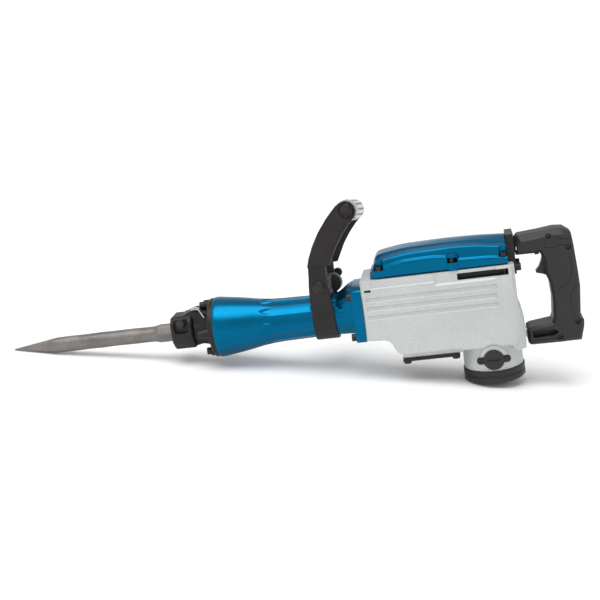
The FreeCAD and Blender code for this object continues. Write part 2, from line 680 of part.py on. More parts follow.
cut(cap, [cap_holes], "motor_cap")
cut(housing, [barrel_holes, plate_holes, base_holes, cover_holes, mount_holes, guide_hole,
              cap_holes, ear_holes], "gear_housing")
cut(plate, [plate_holes], "crank_plate")
cut(bottom_plate, [base_holes], "base_plate")
cut(cover, [cover_holes], "top_cover")
cut(mount, [mount_holes], "handle_block")
for drafted in ("cap_shell", "housing_casting", "bearing_plate", "bottom_plate",
                "handle_mount"):
    del nodes[drafted]


# ---------------------------------------------------------------- rear handle

grip = number("grip_half_width")
handle_side = [(54.9, 70), (54.9, 97), (61, 104), (100, 106), (124, 109), (135, 106), (143, 98),
               (146, 69), (148, 10), (146, -36), (152, -51), (146, -86), (112, -87), (64, -87),
               (61, -83), (61, -61), (66, -58), (99, -52), (104.5, -45), (104, 8), (102.5, 26),
               (101, 58), (95, 70)]
guide_room = [[(61, -77), (70, -77), (70, -59.5), (61, -59.5)],
              [(75, -77), (108, -77), (108, -59.5), (75, -59.5)]]


def half_shell(label, near):
    """One half of the rear handle; the halves meet on the plane Y = 0."""
    shell = new_body(label)
    pad(shell, "XZ_Plane", [handle_side], grip, backwards=not near)
    face = grip if near else -grip
    bevelled = (lambda box: box.ZMin > 100 or (box.ZMin > -61.5 and box.ZMax < -51
                                               and box.XMin > 64))
    round_edges(shell, 9, on_side(grip, bevelled), "Chamfer")
    round_edges(shell, 3, on_side(grip, lambda box: box.ZMax < 99 and box.ZMin < 90))
    pocket(shell, "XZ_Plane", [[(98, -38), (106, -44), (143, -34), (151, 0), (148, 62),
                                (112, 66), (98, 50)]], 5, offset=face, backwards=near)
    inside = [(guide_room[0], 10), (guide_room[1], 10),
              ([(50, 72.5), (72, 72.5), (72, 91.5), (50, 91.5)], 8.8),
              ([(112, -40), (134, -40), (134, 64), (112, 64)], 11),
              ([(76, 76), (122, 76), (122, 96), (76, 96)], 16),
              ([(80, 27), (113, 27), (113, 66), (80, 66)], 9.4),
              ([(86.6, 68), (94.4, 68), (94.4, 74.4), (86.6, 74.4)], 15.6)]
    for outline, depth in inside:
        pocket(shell, "XZ_Plane", [outline], depth, backwards=not near)
    pocket(shell, "YZ_Plane", [("circle", 0, -68, 5)], 10, offset=67)
    pocket(shell, "XY_Plane", [("circle", 131, 0, 9)], 20, offset=-87)
    pocket(shell, "XY_Plane", [("circle", 124, 0, 4)], 34, offset=-72)
    pocket(shell, "XZ_Plane", [[(79, -73.5), (104, -73.5), (104, -62.5), (79, -62.5)]], 18,
           offset=face, backwards=near)
    return shell


handle_near = half_shell("shell_near", True)
handle_far = half_shell("shell_far", False)
handle_spots = ((110, 98), (138, 76), (141, -54), (113, -81))
handle_holes = bolts("handle_screws", [place(x, -22, z, -Y) for x, z in handle_spots],
                     "screw_head", 4, "screw_shank", 40)
pivot_pin = cylinder(4, 2 * grip - 4, place(number("pivot_x"), 2 - grip, number("pivot_z"), Y))
trigger_pin = cylinder(2.5, 26, place(106, -13, 58, Y))
group("handle_pins", [pivot_pin, trigger_pin])
handle_pins = [cylinder(4, 2 * grip - 4, pivot_pin.Placement),
               cylinder(2.5, 26, trigger_pin.Placement)]
cut(handle_near, [handle_holes] + handle_pins, "handle_shell_near")
cut(handle_far, [handle_holes] + handle_pins, "handle_shell_far")
del nodes["shell_near"], nodes["shell_far"]
group("cord_gland", [ring(9, 5.5, 18, place(131, 0, -85))])
group("switch", [block((118, -9, 22), (132, 9, 58))])

trigger = new_body("trigger_body")
pad(trigger, "XZ_Plane", [[(95, 61), (92, 59), (86, 46), (82, 37), (84, 33.5), (97, 31),
                           (108, 33), (109, 61)]], 18, both_ways=True)
round_edges(trigger, 2.5, on_side(9))
pocket(trigger, "XZ_Plane", [("circle", 106, 58, 2.5 + play)], 40, both_ways=True)
del nodes["trigger_body"]
nodes["trigger"] = trigger

# Cross-slide lock under the upper bar, just ahead of the trigger.
button = new_body("lock_slide")
pad(button, "XZ_Plane", [[(87, 65.5), (94, 65.5), (94, 74), (87, 74)]], 24, both_ways=True)
round_edges(button, 1, on_side(12))
del nodes["lock_slide"]
nodes["lock_button"] = button

# ---------------------------------------------------------------- side handle

strap_mid = number("strap_front") + number("strap_width") / 2
inner = number("strap_inner")
outer = inner + number("strap_plate")
strap = new_body("strap_band")
strap_turn = math.radians(14)
outer_y, outer_z = outer * math.cos(strap_turn), outer * math.sin(strap_turn)
inner_y, inner_z = inner * math.cos(strap_turn), inner * math.sin(strap_turn)
pad(strap, "YZ_Plane", [[(-68.7, 88.7), (-66, 60), (-62, 38), (-outer_y, outer_z),
                         (0, -outer, "arc"), (outer_y, outer_z), (62, 38), (66, 60), (68.7, 88.7),
                         (63.7, 88.7), (61, 60), (57.3, 41), (inner_y, inner_z),
                         (0, -inner, "arc"), (-inner_y, inner_z), (-57.3, 41), (-61, 60),
                         (-63.7, 88.7)]], "strap_width", offset="strap_front")
pocket(strap, "XZ_Plane", [[(-298, 12), (-297, 12), (-291, 89), (-298, 89)],
                           [(-258, 12), (-258, 89), (-263, 89), (-259, 12)]], 200,
       both_ways=True)

saddle = new_body("saddle_block")
pad(saddle, "YZ_Plane", [[(-33, 66), (-33, 20), (0, "strap_inner", "arc"), (33, 20), (33, 66)]],
    30, offset=-293)

cover_side = [(-291, 89), (-279.3, 123, "arc"), (-256, 159), (-243, 174, "arc"),
              (-229, 186.5), (-215, 193, "arc"), (-200, 181), (-198.5, 169, "arc"),
              (-206, 159.5), (-234, 126.5, "arc"), (-254, 89)]
tongue = [(-293, 42), (-293, 94), (-262, 94), (-262, 42)]
shoulder = [(-289, 92.5), (-262, 92.5), (-256, 110), (-284, 110)]
arm_gap = number("arm_inner")


def arm(label, near):
    body = new_body(label)
    face = arm_gap if near else -arm_gap
    pad(body, "XZ_Plane", [cover_side], "arm_plate", offset=face, backwards=not near)
    for outline, depth in ((tongue, 8), (shoulder, 14)):
        pad(body, "XZ_Plane", [outline], depth, offset=49 if near else -49,
            backwards=not near)
    return body


arm_near = arm("arm_near", True)
arm_far = arm("arm_far", False)
grip_bolt, grip_hole = bolt(place(number("head_x"), -72, number("head_z"), -Y),
                            "bolt_head", 6, "bolt_shank", 152, drive="hexagon")
grip_nut = doc.addObject("Part::Prism", "nut")
grip_nut.Polygon = 6
bind(grip_nut, Circumradius="bolt_head", Height=6)
grip_nut.Placement = place(number("head_x"), 72, number("head_z"), Y)
nut_bore = cylinder("bolt_shank", 20, place(number("head_x"), 70, number("head_z"), Y))
group("grip_bolt", [grip_bolt, cut(grip_nut, [nut_bore])])
clamp_bolt, clamp_hole = bolt(place(number("clamp_x"), -66, number("clamp_z"), -Y), 8.5, 6,
                              5, 146)
cut(strap, [clamp_hole], "strap")
cut(saddle, [clamp_hole], "saddle")
cut(arm_near, [clamp_hole, grip_hole], "side_arm_near")
cut(arm_far, [clamp_hole, grip_hole], "side_arm_far")
for drafted in ("strap_band", "saddle_block", "arm_near", "arm_far"):
    del nodes[drafted]
group("clamp_bolt", [clamp_bolt] + [ring(14, 5, 16, place(number("clamp_x"), y,
                                                          number("clamp_z"), Y))
                                    for y in (-49, 33)])

grip_tube = new_body("side_grip")
pad(grip_tube, "XZ_Plane", [("circle", "head_x", "head_z", "grip_radius"),
                            ("circle", "head_x", "head_z", "bolt_shank")],
    2 * arm_gap, both_ways=True)

# Wing knob on the far end of the clamp bolt.
knob_bore = cylinder(5 + play, 40, place(number("clamp_x"), 60, number("clamp_z"), Y))
knob_hub = cylinder(13, 20, place(number("clamp_x"), 67.2, number("clamp_z"), Y))
lobes = [cylinder(8, 14, place(number("clamp_x") + 24 * math.cos(a), 73,
                               number("clamp_z") + 24 * math.sin(a), Y))
         for a in (math.radians(40), math.radians(220))]
bar = doc.addObject("Part::Box", "wing")
bind(bar, Length=48, Width=12, Height=12)
turned = FreeCAD.Rotation(Y, -40)
bar.Placement = FreeCAD.Placement(V(number("clamp_x"), 74, number("clamp_z"))
                                  + turned.multVec(V(-24, 0, -6)), turned)
cut(join([knob_hub, bar] + lobes), [knob_bore], "wing_knob")

for label, equal_screws in screws.items():
    group(label, equal_screws)

# ---------------------------------------------------------------- stance and export

touch = V(-854, 0, -2)
rim = V(-49.4, 0, number("cap_bottom"))
tilt = math.degrees(math.atan2(touch.z - rim.z, rim.x - touch.x))
pitch = FreeCAD.Rotation(Y, -tilt)
drop = pitch.multVec(rim).z
stance = FreeCAD.Placement(V(number("stance_x"), number("stance_y"), -drop), pitch)
lean = FreeCAD.Placement(V(0, 0, 0), FreeCAD.Rotation(X, number("lean_angle")))
side_handle = {"strap", "saddle", "side_arm_near", "side_arm_far", "side_grip", "grip_bolt",
               "clamp_bolt", "wing_knob"}

doc.recompute()
for label, item in nodes.items():
    item.Label = label
    item.Placement = stance.multiply(lean) if label in side_handle else stance
doc.recompute()

for item in doc.Objects:
    if "Invalid" in item.State or "Error" in item.State:
        raise RuntimeError("%s is broken: %s" % (item.Name, item.State))

os.makedirs("parts", exist_ok=True)
for label, item in nodes.items():
    if item.Shape.isNull() or not item.Shape.isValid():
        raise RuntimeError("%s has no valid shape" % label)
    item.Shape.exportStep("parts/%s.step" % label)
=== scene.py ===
import bmesh
import bpy
import json
import math
from mathutils import Matrix, Vector


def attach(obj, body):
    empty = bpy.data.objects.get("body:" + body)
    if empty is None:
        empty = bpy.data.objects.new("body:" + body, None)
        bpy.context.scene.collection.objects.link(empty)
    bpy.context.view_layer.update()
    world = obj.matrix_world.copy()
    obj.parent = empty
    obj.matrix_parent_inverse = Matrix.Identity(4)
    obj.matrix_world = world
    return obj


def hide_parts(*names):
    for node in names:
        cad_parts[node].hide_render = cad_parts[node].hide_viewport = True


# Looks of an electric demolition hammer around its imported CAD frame.
#
# Pieces are drawn in the tool frame, in millimetres: +X runs rearwards along the hammer axis,
# +Z runs up the motor axis and -Y is the near side.  The record's joints say where that frame
# lies in the row frame.  The side handle's own frame leans about the hammer axis.

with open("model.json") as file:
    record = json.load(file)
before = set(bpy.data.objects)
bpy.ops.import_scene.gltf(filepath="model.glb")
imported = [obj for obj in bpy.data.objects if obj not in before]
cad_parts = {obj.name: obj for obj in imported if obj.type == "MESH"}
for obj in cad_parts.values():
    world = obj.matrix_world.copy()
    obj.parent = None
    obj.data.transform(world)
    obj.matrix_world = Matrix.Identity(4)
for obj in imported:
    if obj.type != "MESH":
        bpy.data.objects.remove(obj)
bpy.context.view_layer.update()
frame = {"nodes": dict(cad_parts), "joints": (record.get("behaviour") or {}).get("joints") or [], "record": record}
joints = {joint["name"]: joint for joint in frame["joints"]}


def frame_of(origin, up):
    """The matrix from tool millimetres to row metres, from a motor joint's place and axis."""
    across = Vector((0, 1, 0))
    along = across.cross(up)
    rotation = Matrix((along, across, up)).transposed().to_4x4()
    return Matrix.Translation(origin) @ rotation @ Matrix.Scale(0.001, 4)


TOOL = frame_of(Vector(joints["armature_spin"]["pos_m"]),
                Vector(joints["armature_spin"]["axis"]).normalized())
knob_axis = TOOL.to_3x3().inverted() @ Vector(joints["knob_turn"]["axis"])
LEAN = math.atan2(knob_axis.z, knob_axis.y)
LEANED = TOOL @ Matrix.Rotation(LEAN, 4, "X")


# ---------------------------------------------------------------- mesh helpers

def new_piece(name, mesh, body, slot, matrix=TOOL, smooth=35):
    """Puts a mesh drawn in millimetres into the row frame, on a body."""
    mesh.transform(matrix)
    piece = bpy.data.objects.new(name, mesh)
    bpy.context.scene.collection.objects.link(piece)
    shade(piece, smooth)
    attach(piece, body)
    piece.data.materials.clear()
    piece.data.materials.append(MATERIALS[slot])
    return piece


def shade(piece, angle):
    """Smooth shading with sharp edges kept above an angle in degrees."""
    mesh = piece.data
    mesh.polygons.foreach_set("use_smooth", [True] * len(mesh.polygons))
    bm = bmesh.new()
    bm.from_mesh(mesh)
    limit = math.radians(angle)
    for edge in bm.edges:
        edge.smooth = len(edge.link_faces) == 2 and edge.calc_face_angle(0) < limit
    bm.to_mesh(mesh)
    bm.free()


# ---------------------------------------------------------------- materials

def links(tree, *pairs):
    """Links each (output, input) pair of sockets."""
    for source, target in pairs:
        tree.links.new(source, target)


def ramp(tree, factor, stops):
    """A colour ramp: stops are (position, grey or colour)."""
    node = tree.nodes.new("ShaderNodeValToRGB")
    elements = node.color_ramp.elements
    while len(elements) < len(stops):
        elements.new(0.5)
    for element, (position, value) in zip(elements, stops):
        element.position = position
        colour = (value, value, value) if isinstance(value, (int, float)) else value
        element.color = (*colour, 1)
    tree.links.new(factor, node.inputs["Fac"])
    return node.outputs["Color"]


def noise(tree, where, scale, detail=4.0, roughness=0.55):
    """Noise between 0 and 1 in the coordinates given by where."""
    node = tree.nodes.new("ShaderNodeTexNoise")
    node.inputs["Scale"].default_value = scale
    node.inputs["Detail"].default_value = detail
    node.inputs["Roughness"].default_value = roughness
    tree.links.new(where, node.inputs["Vector"])
    return node.outputs["Fac"]


def mix(tree, kind, factor, a, b):
    """A colour mix; each of factor, a and b is a socket or a constant."""
    node = tree.nodes.new("ShaderNodeMix")
    node.data_type = "RGBA"
    node.blend_type = kind
    for socket, value in ((node.inputs[0], factor), (node.inputs[6], a), (node.inputs[7], b)):
        if hasattr(value, "links"):
            tree.links.new(value, socket)
        elif isinstance(value, (int, float)):
            socket.default_value = value
        else:
            socket.default_value = (*value, 1)
    return node.outputs[2]


def bump(tree, height, strength, distance):
    """The normal of a surface raised by a height socket, over a distance in metres."""
    node = tree.nodes.new("ShaderNodeBump")
    node.inputs["Strength"].default_value = strength
    node.inputs["Distance"].default_value = distance
    tree.links.new(height, node.inputs["Height"])
    return node.outputs["Normal"]


def finish_material(name, dark, light, patch_scale, grain_scale, grain, rough, metallic,
                    grain_bump=0.15, bump_size=0.0003, specular=0.5):
    """One surface finish: soft patches between two colours, fine grain on top of them.

    rough holds the two roughnesses between which the patches vary."""
    material = bpy.data.materials.new(name)
    material.use_nodes = True
    tree = material.node_tree
    shader = tree.nodes["Principled BSDF"]
    where = tree.nodes.new("ShaderNodeTexCoord").outputs["Object"]
    patches = noise(tree, where, patch_scale, 5.0)
    fine = noise(tree, where, grain_scale, 3.0, 0.6)
    colour = mix(tree, "MIX", ramp(tree, patches, ((0.3, 0.0), (0.7, 1.0))), dark, light)
    speckle = ramp(tree, fine, ((0.35, 1.0 - grain), (0.65, 1.0)))
    colour = mix(tree, "MULTIPLY", 1.0, colour, speckle)
    shader.inputs["Metallic"].default_value = metallic
    shader.inputs["Specular IOR Level"].default_value = specular
    links(tree, (colour, shader.inputs["Base Color"]),
          (ramp(tree, patches, ((0.25, rough[0]), (0.75, rough[1]))),
           shader.inputs["Roughness"]),
          (bump(tree, fine, grain_bump, bump_size), shader.inputs["Normal"]))
    return material


MATERIALS = {
    "cast_silver": finish_material("cast_silver", (0.50, 0.52, 0.515), (0.57, 0.59, 0.585), 9,
                                   820, 0.2, (0.42, 0.52), 0.15, grain_bump=0.35),
    "blue_paint": finish_material("blue_paint", (0.0, 0.118, 0.24), (0.0, 0.14, 0.28), 14,
                                  2600, 0.22, (0.26, 0.34), 0.85, grain_bump=0.1,
                                  specular=0.2),
    "black_paint": finish_material("black_paint", (0.008, 0.0065, 0.0062), (0.017, 0.0145, 0.0135),
                                   22, 1800, 0.3, (0.38, 0.52), 0.1, grain_bump=0.22,
                                   specular=0.35),
    "black_plastic": finish_material("black_plastic", (0.014, 0.0135, 0.015),
                                     (0.021, 0.02, 0.022), 12, 2600, 0.25, (0.45, 0.55), 0.0,
                                     grain_bump=0.3, bump_size=0.0004, specular=0.4),
    "trigger_plastic": finish_material("trigger_plastic", (0.008, 0.008, 0.009),
                                       (0.014, 0.014, 0.015), 15, 2600, 0.15, (0.32, 0.42),
                                       0.0, grain_bump=0.12, specular=0.4),
    "forged_steel": finish_material("forged_steel", (0.16, 0.145, 0.135),
                                    (0.30, 0.285, 0.27), 26, 900, 0.35, (0.34, 0.55), 0.75,
                                    grain_bump=0.35, bump_size=0.0005),
    "black_steel": finish_material("black_steel", (0.022, 0.02, 0.019), (0.05, 0.046, 0.043),
                                   60, 2400, 0.2, (0.3, 0.45), 0.6, grain_bump=0.15,
                                   specular=0.4),
    "bright_steel": finish_material("bright_steel", (0.42, 0.42, 0.43), (0.56, 0.56, 0.57),
                                    40, 2400, 0.12, (0.22, 0.36), 1.0, grain_bump=0.1),
    "alloy": finish_material("alloy", (0.55, 0.55, 0.56), (0.66, 0.66, 0.67), 30, 2400, 0.1,
                             (0.26, 0.38), 1.0, grain_bump=0.1),
    "knurled_alloy": finish_material("knurled_alloy", (0.52, 0.51, 0.49), (0.66, 0.65, 0.63),
                                     70, 2400, 0.15, (0.24, 0.36), 0.9, grain_bump=0.15),
    "rubber": finish_material("rubber", (0.01, 0.01, 0.01), (0.018, 0.018, 0.018), 30, 1500,
                              0.2, (0.65, 0.75), 0.0, grain_bump=0.3, specular=0.3),
    "copper": finish_material("copper", (0.42, 0.16, 0.07), (0.62, 0.27, 0.13), 60, 1500,
                              0.2, (0.25, 0.4), 0.9, grain_bump=0.3),
    "brass": finish_material("brass", (0.52, 0.36, 0.12), (0.66, 0.48, 0.2), 50, 2000, 0.1,
                             (0.25, 0.38), 1.0, grain_bump=0.1),
    "carbon": finish_material("carbon", (0.015, 0.015, 0.017), (0.03, 0.03, 0.032), 50, 2400,
                              0.2, (0.5, 0.6), 0.1, grain_bump=0.2),
    "fan_plastic": finish_material("fan_plastic", (0.2, 0.2, 0.19), (0.28, 0.28, 0.27), 30,
                                   2400, 0.1, (0.4, 0.5), 0.0, grain_bump=0.1),
}

for subpart in frame["record"]["subparts"]:
    node = frame["nodes"][subpart["node"]]
    node.data.materials.clear()
    node.data.materials.append(MATERIALS[subpart["material_slot"]])


# ---------------------------------------------------------------- shape helpers

def interpolate(points, x):
    """Smooth curve through (x, value) points: a monotone cubic between neighbours."""
    if x <= points[0][0]:
        return points[0][1]
    if x >= points[-1][0]:
        return points[-1][1]
    index = max(i for i in range(len(points) - 1) if points[i][0] <= x)

    def slope(i):
        if i <= 0 or i >= len(points) - 1:
            return 0.0 if 0 < i else (points[1][1] - points[0][1]) / (points[1][0] - points[0][0])
        before = (points[i][1] - points[i - 1][1]) / (points[i][0] - points[i - 1][0])
        after = (points[i + 1][1] - points[i][1]) / (points[i + 1][0] - points[i][0])
        return 0.0 if before * after <= 0 else 2 * before * after / (before + after)

    (x0, y0), (x1, y1) = points[index], points[index + 1]
    span = x1 - x0
    t = (x - x0) / span
    return (y0 * (1 + 2 * t) * (1 - t) ** 2 + y1 * t * t * (3 - 2 * t)
            + span * (slope(index) * t * (1 - t) ** 2 - slope(index + 1) * t * t * (1 - t)))


def ease(t):
    """A smooth step from 0 to 1 while t goes from 0 to 1."""
    t = max(0.0, min(1.0, t))
    return t * t * (3 - 2 * t)


def loft(rings):
    """A closed skin over rings that all have the same number of points."""
    count = len(rings[0])
    vertices = [tuple(point) for ring in rings for point in ring]
    faces = [(r * count + i, r * count + (i + 1) % count,
              (r + 1) * count + (i + 1) % count, (r + 1) * count + i)
             for r in range(len(rings) - 1) for i in range(count)]
    faces.append(tuple(range(count))[::-1])
    faces.append(tuple((len(rings) - 1) * count + i for i in range(count)))
    mesh = bpy.data.meshes.new("loft")
    mesh.from_pydata(vertices, [], faces)
    outward(mesh)
    return mesh


def outward(mesh):
    """Turns all faces of a closed mesh to the outside."""
    bm = bmesh.new()
    bm.from_mesh(mesh)
    bmesh.ops.recalc_face_normals(bm, faces=bm.faces)
    bm.to_mesh(mesh)
    bm.free()


def lathe(profile, axis="X", steps=96, centre=(0, 0, 0)):
    """Turns a profile of (along, radius) points about an axis through a centre."""
    rings = []
    for along, radius in profile:
        ring = []
        for i in range(steps):
            a = 2 * math.pi * i / steps
            u, v = radius * math.cos(a), radius * math.sin(a)
            point = {"X": (along, u, v), "Y": (u, along, v), "Z": (u, v, along)}[axis]
            ring.append(Vector(point) + Vector(centre))
        rings.append(ring)
    return loft(rings)


def prism(outline, low, high, axis="Y", bevel=0.0, segments=3, chosen=None):
    """An outline pushed along an axis, with its edges rounded where chosen(edge) is true."""
    def spot(u, v, along):
        return {"X": (along, u, v), "Y": (u, along, v), "Z": (u, v, along)}[axis]
    mesh = loft([[spot(u, v, along) for u, v in outline] for along in (low, high)])
    if bevel:
        bm = bmesh.new()
        bm.from_mesh(mesh)
        edges = [edge for edge in bm.edges if chosen is None or chosen(edge)]
        bmesh.ops.bevel(bm, geom=edges, offset=bevel, segments=segments, profile=0.5,
                        affect="EDGES", clamp_overlap=True)
        bm.to_mesh(mesh)
        bm.free()
    return mesh


def smooth_outline(points, rounds):
    """Cuts the corners of a closed outline."""
    for _ in range(rounds):
        points = [((1 - t) * p[0] + t * q[0], (1 - t) * p[1] + t * q[1])
                  for p, q in zip(points, points[1:] + points[:1]) for t in (0.25, 0.75)]
    return points


def arc_points(centre, radius, start, end, steps):
    """Points along an arc from a start to an end angle in degrees."""
    return [(centre[0] + radius * math.cos(math.radians(start + (end - start) * i / steps)),
             centre[1] + radius * math.sin(math.radians(start + (end - start) * i / steps)))
            for i in range(steps + 1)]


def joined(meshes):
    """Several closed meshes as the loose parts of one mesh."""
    bm = bmesh.new()
    for mesh in meshes:
        bm.from_mesh(mesh)
    result = bpy.data.meshes.new("joined")
    bm.to_mesh(result)
    bm.free()
    return result


def modified(mesh, *settings):
    """The mesh after a stack of modifiers, given as (type, {property: value})."""
    item = bpy.data.objects.new("work", mesh)
    bpy.context.scene.collection.objects.link(item)
    for kind, values in settings:
        modifier = item.modifiers.new(kind, kind)
        for name, value in values.items():
            setattr(modifier, name, value)
    bpy.context.view_layer.update()
    graph = bpy.context.evaluated_depsgraph_get()
    result = bpy.data.meshes.new_from_object(item.evaluated_get(graph))
    bpy.data.objects.remove(item)
    return result


def carved(mesh, tools, operation="DIFFERENCE"):
    """Exact booleans with a list of closed meshes."""
    for tool in tools:
        cutter = bpy.data.objects.new("cutter", tool)
        bpy.context.scene.collection.objects.link(cutter)
        mesh = modified(mesh, ("BOOLEAN", {"object": cutter, "operation": operation,
                                           "solver": "EXACT"}))
        bpy.data.objects.remove(cutter)
    return mesh


def cast(meshes, voxel, rounds):
    """Fuses closed meshes into one skin with the soft inner corners of a casting."""
    return modified(joined(meshes),
                    ("REMESH", {"mode": "VOXEL", "voxel_size": voxel}),
                    ("SMOOTH", {"factor": 0.5, "iterations": rounds}))


# ---------------------------------------------------------------- barrel

FRONT_FLUTES, REAR_FLUTES = 14, 32
BARREL_STEPS = 336
SQUARENESS = 3.4
# (x, radius) along the barrel
BARREL_RADIUS = [(-472, 52.2), (-470.5, 53.3), (-468, 53.4), (-450, 51.3), (-430, 48.4),
                 (-410, 45.0), (-390, 41.3), (-370, 38.9), (-350, 37.9), (-330, 37.5),
                 (-300, 36.9), (-258, 36.9), (-240, 37.4), (-226, 38.5)]


def scallop(angle, count, sharp):
    """0 on the ridge between two flutes and 1 in a flute, with broad floors."""
    wave = 0.5 - 0.5 * math.cos(angle * count)
    return wave ** sharp


def barrel_point(x, angle):
    """A point of the barrel: round, then fluted, then its upper half squared at the flange."""
    radius = interpolate(BARREL_RADIUS, x)
    lead = 16 * abs(math.sin(FRONT_FLUTES / 2 * angle)) ** 2
    front = ease((x + 376 + lead) / 9) * ease((-296 - x) / 4)
    radius -= 1.9 * front * scallop(angle, FRONT_FLUTES, 0.45)
    rear = ease((x + 256) / 4) * ease((-226 - x) / 5)
    radius -= 0.9 * rear * scallop(angle, REAR_FLUTES, 0.7)
    y, z = radius * math.cos(angle), radius * math.sin(angle)
    flare = ease((x + 257) / 31)
    if z > 0:
        blunt = ((abs(math.cos(angle)) ** SQUARENESS + abs(math.sin(angle)) ** SQUARENESS)
                 ** (-1 / SQUARENESS))
        square = Vector((47.5 * math.cos(angle) * blunt, 51.5 * math.sin(angle) * blunt))
        weight = flare * ease(z / 26)
        y, z = y + (square.x - y) * weight, z + (square.y - z) * weight
    return (x, y, z)


def make_barrel():
    """The barrel casting with its flange plate and the pockets of the two upper bolts."""
    stations = [-472, -471, -470, -468, -465]
    stations += [-460 + 2.5 * i for i in range(93)] + [-227]
    body = loft([[barrel_point(x, 2 * math.pi * i / BARREL_STEPS)
                  for i in range(BARREL_STEPS)] for x in stations])
    outline = [(-52.5, -38), (-52.5, 40), (-43, 51.5), (43, 51.5), (52.5, 40), (52.5, -38),
               (43, -48.5), (-43, -48.5)]
    corners = smooth_outline(outline, 2)
    plate = prism(corners, -226.5, -209, "X", 1.2, 2,
                  lambda edge: abs(edge.verts[0].co.x - edge.verts[1].co.x) < 0.1
                  and edge.verts[0].co.x < -220)
    pockets = [lathe([(-262, 8), (-226.2, 8)], "X", 32, (0, side * 46, 36))
               for side in (-1, 1)]
    return joined([carved(body, pockets), plate])


# ---------------------------------------------------------------- cover

# (x, height) of the cover's three folds and of its crest
LOW_LINE = [(-188, 66), (-180, 75), (-159, 82), (-125, 88.4), (-86, 89.4), (-61, 87),
            (-40, 80.5), (12, 78.2), (41.5, 74)]
MIDDLE_LINE = [(-188, 72), (-178, 90), (-158, 95), (-112, 100.4), (-56, 101), (-15, 99),
               (41.5, 93)]
HIGH_LINE = [(-188, 74), (-177, 97), (-162, 101), (-122, 105.6), (-56, 106.6), (-1, 104.4),
             (41.5, 100)]
CREST = [(-188, 75), (-173, 99.5), (-158, 102.6), (-126, 106.5), (-98, 107.9), (-55, 109.2),
         (-13, 108.8), (28, 106.5), (41.5, 105.7)]


def cover_section(x):
    """One cross-section of the gear cover as (y, z) points, with three folds on each side."""
    low, middle, high, crest = (interpolate(line, x)
                                for line in (LOW_LINE, MIDDLE_LINE, HIGH_LINE, CREST))
    narrow = 1 - 0.1 * (1 - ease((x + 190) / 16))
    side = [(50, 62), (50, 64.5), (50, 0.5 * (62 + low)), (50, low - 2.5), (49.2, low - 0.4),
            (47.2, low + 0.5), (45.6, low + 1.6), (44.8, 0.55 * low + 0.45 * middle),
            (43.4, middle - 2.2), (42.2, middle - 0.3), (40.4, middle + 0.5),
            (37.5, middle + 0.9), (31, 0.6 * middle + 0.4 * high), (25.4, high - 1.9),
            (23.4, high - 0.2), (21.2, high + 0.5), (16, 0.6 * high + 0.4 * crest),
            (8, crest - 0.4)]
    lifted = [(y * narrow, max(z, 62)) for y, z in side]
    return lifted + [(0, crest)] + [(-y, z) for y, z in lifted[::-1]]


def make_cover():
    """The gear cover with its screw pockets and the middle bosses above them."""
    stations = [-190, -189.4, -188.2, -186] + [-183 + 3 * i for i in range(74)] + [40.5, 41.5]
    rings = [[(x, y, z) for y, z in cover_section(x)] for x in stations]
    body = modified(loft(rings), ("SUBSURF", {"levels": 1, "render_levels": 1}))
    bosses = [lathe([(62.5, 12), (85.5, 12), (89.5, 10), (91.5, 6)], "Z", 40, (-49.5, side * 42, 0))
              for side in (-1, 1)]
    body = carved(body, bosses, "UNION")
    pockets = [lathe([(76, radius), (top, radius)], "Z", 40, (x, side * y, 0))
               for x, y, radius, top in ((-174, 47, 8.5, 130), (-50, 49, 8.6, 85),
                                         (34, 47, 7.2, 130))
               for side in (-1, 1)]
    return carved(body, pockets)


new_piece("barrel_casting", make_barrel(), "hammer_body", "blue_paint", smooth=40)
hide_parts("barrel_tube")
new_piece("gear_cover", make_cover(), "hammer_body", "blue_paint", smooth=32)
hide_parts("top_cover")


# ---------------------------------------------------------------- housing

HALF_WIDTH = 54
BEYOND = 60                     # a half width that lies outside the housing, for cutters
COVER_SEAT = 62                 # height of the joint between the housing and the cover
HOUSING_SIDE = [(-209, 62), (50, 62), (50, 6), (51.5, -14), (57, -27), (58.5, -60), (56.5, -86),
                (38, -86), (34, -76), (-50, -76), (-50, -73), (-149, -73), (-157, -69.5),
                (-162, -62), (-166, -53), (-170, -47), (-177, -44.3), (-209, -42.5)]
HOUSING_PLAN = [(-209, -50), (-206, -53.2), (-202, -54), (38, -54), (43, -52.8), (51, -48),
                (59, -41), (59, 41), (51, 48), (43, 52.8), (38, 54), (-202, 54), (-206, 53.2),
                (-209, 50)]
# (top, bottom) of the raised ribs, with a groove above each
RIBS = ((24.2, 17.0), (8.8, 1.4), (-6.6, -14.4))
RIB_DEPTH = 1.7
WALL_SLOPE = 0.8
LEDGE_HEIGHT = 40.5
SLOT = (-45, 39.5, 45.6, 56.8, 16)          # x0, x1, z0, z1 and depth of a long vent slot
SMALL_SLOT = (-202, -191, 42, 46, 8)
REAR_SEAM = (45.2, 46.4, 16, 58, 4)


def side_recess(x0, x1, low, high, depth, side):
    """A recess with sloping long walls, from a side face inwards."""
    face, out = side * HALF_WIDTH, side * BEYOND
    inner = side * (HALF_WIDTH - depth)
    outline = [(out, low - WALL_SLOPE * 5), (face, low), (inner, low + WALL_SLOPE * depth),
               (inner, high - WALL_SLOPE * depth), (face, high), (out, high + WALL_SLOPE * 5)]
    return prism(outline, x0, x1, "X")


def rectangle(x0, x1, z0, z1, inset=0):
    """The outline of an upright rectangle, drawn in on all sides by an inset."""
    return [(x0 + inset, z0 + inset), (x1 - inset, z0 + inset), (x1 - inset, z1 - inset),
            (x0 + inset, z1 - inset)]


def brush_arch(radius):
    """The outline of the seat round a brush cap: upright sides under a half circle."""
    return ([(-radius, -112), (-radius, -97)] + arc_points((0, -97), radius, 180, 0, 24)[1:-1]
            + [(radius, -97), (radius, -112)])


